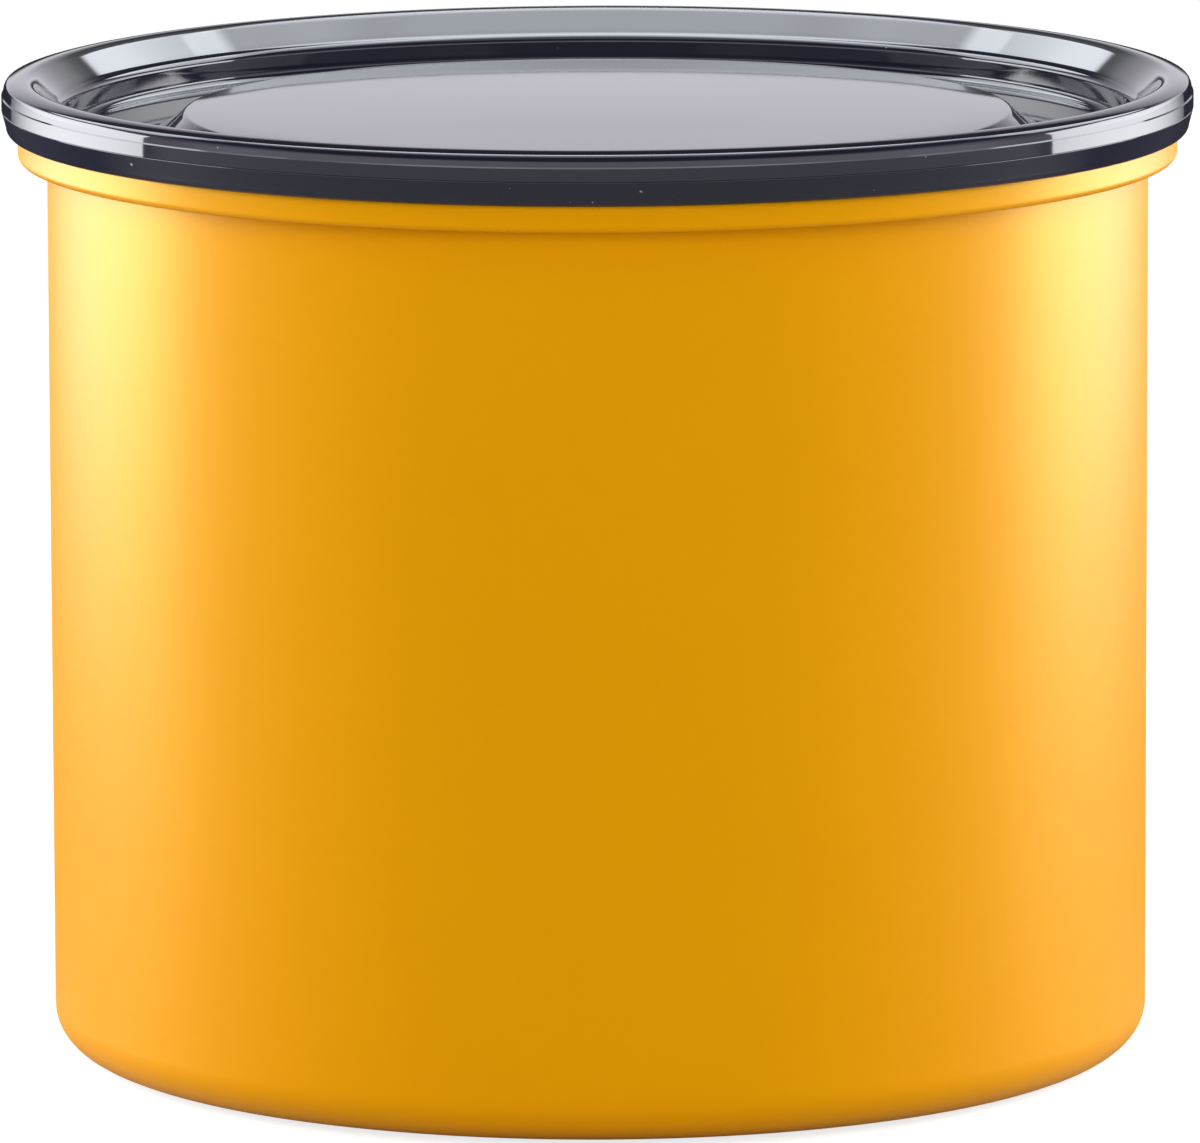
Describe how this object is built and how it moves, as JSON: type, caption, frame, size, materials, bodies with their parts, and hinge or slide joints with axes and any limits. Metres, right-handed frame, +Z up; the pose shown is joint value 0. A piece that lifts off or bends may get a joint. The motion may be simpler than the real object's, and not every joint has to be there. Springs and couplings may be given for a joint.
{
  "type": "coffee canister with valve",
  "caption": "Round steel coffee canister with a snap-over outer lid and an inner lid that slides down on the coffee and has a gasket, a valve and a folding handle.",
  "frame": {"origin": "centre of the base on the surface that the canister stands on", "axes": "+Z up along the canister's axis, +X the way the folded handle points, +Y along the handle's pivot"},
  "size_m": [0.127, 0.127, 0.1047],
  "materials": {
    "body_coat": "matte powder coat",
    "pad_rubber": "matte",
    "smoke_lid": "glossy smoke tint",
    "inner_plastic": "fine matte",
    "seal_silicone": "matte silicone",
    "pin_steel": "plain",
    "valve_plastic": "satin",
    "handle_plastic": "satin"
  },
  "bodies": {
    "canister": {"canister_body": "body_coat", "base_pad": "pad_rubber"},
    "outer_lid": {"outer_lid": "smoke_lid"},
    "inner_lid": {"inner_lid_plate": "inner_plastic", "rim_gasket": "seal_silicone", "valve_cover": "inner_plastic", "cover_screws": "pin_steel", "hinge_pin_left": "pin_steel", "hinge_pin_right": "pin_steel", "valve_spring": "pin_steel"},
    "valve": {"valve_plunger": "valve_plastic", "valve_seal": "seal_silicone"},
    "handle": {"handle": "handle_plastic"}
  },
  "joints": [
    {"name": "outer_lid_lift", "type": "slide", "parent": "canister", "child": "outer_lid", "axis": [0, 0, 1], "range_m": [0, 0.08]},
    {"name": "inner_lid_travel", "type": "slide", "parent": "canister", "child": "inner_lid", "axis": [0, 0, 1], "range_m": [-0.0415, 0.007]},
    {"name": "handle_fold", "type": "hinge", "parent": "inner_lid", "child": "handle", "pos_m": [-0.001, 0, 0.0606], "axis": [0, -1, 0], "range_deg": [0, 90]},
    {"name": "valve_lift", "type": "slide", "parent": "inner_lid", "child": "valve", "axis": [0, 0, 1], "range_m": [0, 0.002], "deforming": ["valve_spring"]}
  ],
  "couplings": [
    {"joint": "valve_lift", "follows": "handle_fold", "m_per_rad": 0.001273}
  ]
}
